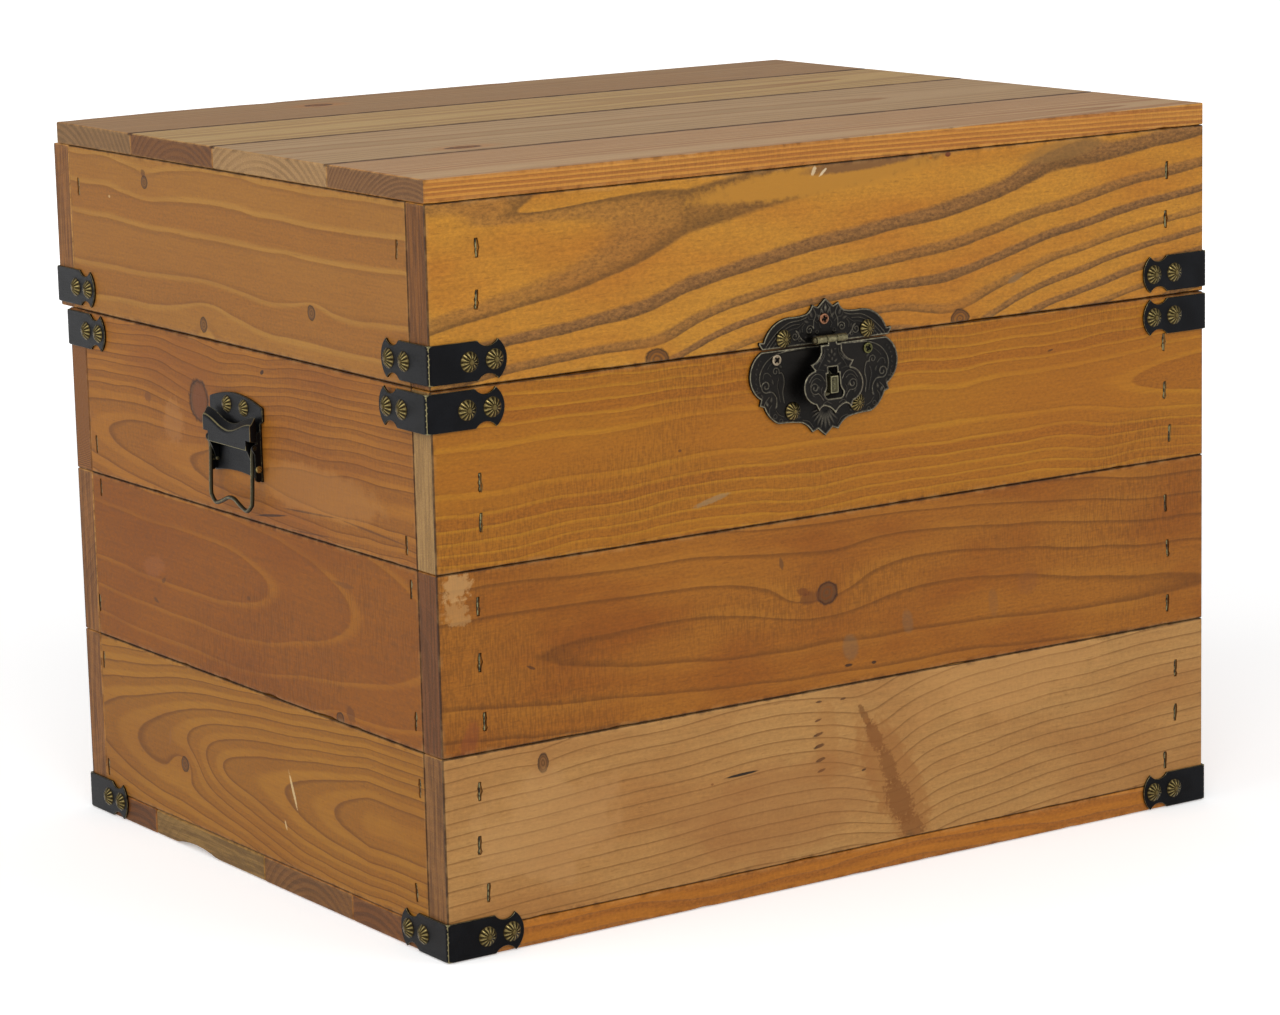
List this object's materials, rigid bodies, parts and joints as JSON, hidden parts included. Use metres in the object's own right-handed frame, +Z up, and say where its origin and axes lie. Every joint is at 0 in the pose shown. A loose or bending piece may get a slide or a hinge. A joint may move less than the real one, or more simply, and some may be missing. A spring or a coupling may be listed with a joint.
{
  "type": "lidded wooden box",
  "caption": "Small wooden chest of stained sawn boards with a hinged lid, nailed metal corner brackets, a scalloped front clasp and a toggle-lever drop handle on each end.",
  "frame": {"origin": "centre of the body's underside, on the face that rests on the floor", "axes": "+X along the front towards the right end, +Y from the clasp front towards the hinged back, +Z up"},
  "size_m": [0.5194, 0.4172, 0.397],
  "materials": {
    "body_boards": "stained and waxed softwood, sawn",
    "lid_boards": "stained and waxed softwood, sawn",
    "raw_timber": "raw sawn softwood",
    "blackened_sheet": "blackened, with edges rubbed to brass",
    "antique_brass": "antique, dull"
  },
  "bodies": {
    "chest": {"base_board_1": "body_boards", "base_board_2": "body_boards", "base_board_3": "body_boards", "base_board_4": "body_boards", "front_board_lower": "body_boards", "front_board_middle": "body_boards", "front_board_upper": "body_boards", "back_board_lower": "body_boards", "back_board_middle": "body_boards", "back_board_upper": "body_boards", "left_board_lower": "body_boards", "left_board_middle": "body_boards", "left_board_upper": "body_boards", "right_board_lower": "body_boards", "right_board_middle": "body_boards", "right_board_upper": "body_boards", "corner_post_front_left": "raw_timber", "corner_post_front_right": "raw_timber", "corner_post_back_left": "raw_timber", "corner_post_back_right": "raw_timber", "bottom_bracket_front_left": "blackened_sheet", "bottom_bracket_front_right": "blackened_sheet", "bottom_bracket_back_left": "blackened_sheet", "bottom_bracket_back_right": "blackened_sheet", "rim_bracket_front_left": "blackened_sheet", "rim_bracket_front_right": "blackened_sheet", "rim_bracket_back_left": "blackened_sheet", "rim_bracket_back_right": "blackened_sheet", "clasp_lower_plate": "blackened_sheet", "clasp_staple": "antique_brass", "body_hinge_leaf_left": "blackened_sheet", "body_hinge_leaf_right": "blackened_sheet", "handle_plate_left": "blackened_sheet", "handle_plate_right": "blackened_sheet"},
    "lid": {"lid_top_board_1": "lid_boards", "lid_top_board_2": "lid_boards", "lid_top_board_3": "lid_boards", "lid_top_board_4": "lid_boards", "lid_board_front": "lid_boards", "lid_board_back": "lid_boards", "lid_board_left": "lid_boards", "lid_board_right": "lid_boards", "lid_block_front_left": "raw_timber", "lid_block_front_right": "raw_timber", "lid_block_back_left": "raw_timber", "lid_block_back_right": "raw_timber", "lid_bracket_front_left": "blackened_sheet", "lid_bracket_front_right": "blackened_sheet", "lid_bracket_back_left": "blackened_sheet", "lid_bracket_back_right": "blackened_sheet", "clasp_upper_plate": "blackened_sheet", "clasp_pin": "antique_brass", "lid_hinge_leaf_left": "blackened_sheet", "lid_hinge_leaf_right": "blackened_sheet"},
    "hasp": {"clasp_tongue": "blackened_sheet"},
    "lever_left": {"handle_lever_left": "blackened_sheet"},
    "bail_left": {"handle_bail_left": "antique_brass"},
    "lever_right": {"handle_lever_right": "blackened_sheet"},
    "bail_right": {"handle_bail_right": "antique_brass"}
  },
  "joints": [
    {"name": "lid_hinge", "type": "hinge", "parent": "chest", "child": "lid", "pos_m": [0, 0.1988, 0.2897], "axis": [-1, 0, 0], "range_deg": [0, 100]},
    {"name": "hasp_hinge", "type": "hinge", "parent": "lid", "child": "hasp", "pos_m": [-0.0109, -0.2018, 0.2939], "axis": [-1, 0, 0], "range_deg": [0, 170]},
    {"name": "lever_left_hinge", "type": "hinge", "parent": "chest", "child": "lever_left", "pos_m": [-0.25485, 0.002, 0.2296], "axis": [0, -1, 0], "range_deg": [0, 130]},
    {"name": "bail_left_hinge", "type": "hinge", "parent": "chest", "child": "bail_left", "pos_m": [-0.2567, 0.002, 0.2411], "axis": [0, 1, 0], "range_deg": [0, 110]},
    {"name": "lever_right_hinge", "type": "hinge", "parent": "chest", "child": "lever_right", "pos_m": [0.25485, 0.002, 0.2296], "axis": [0, 1, 0], "range_deg": [0, 130]},
    {"name": "bail_right_hinge", "type": "hinge", "parent": "chest", "child": "bail_right", "pos_m": [0.2567, 0.002, 0.2411], "axis": [0, -1, 0], "range_deg": [0, 110]}
  ]
}
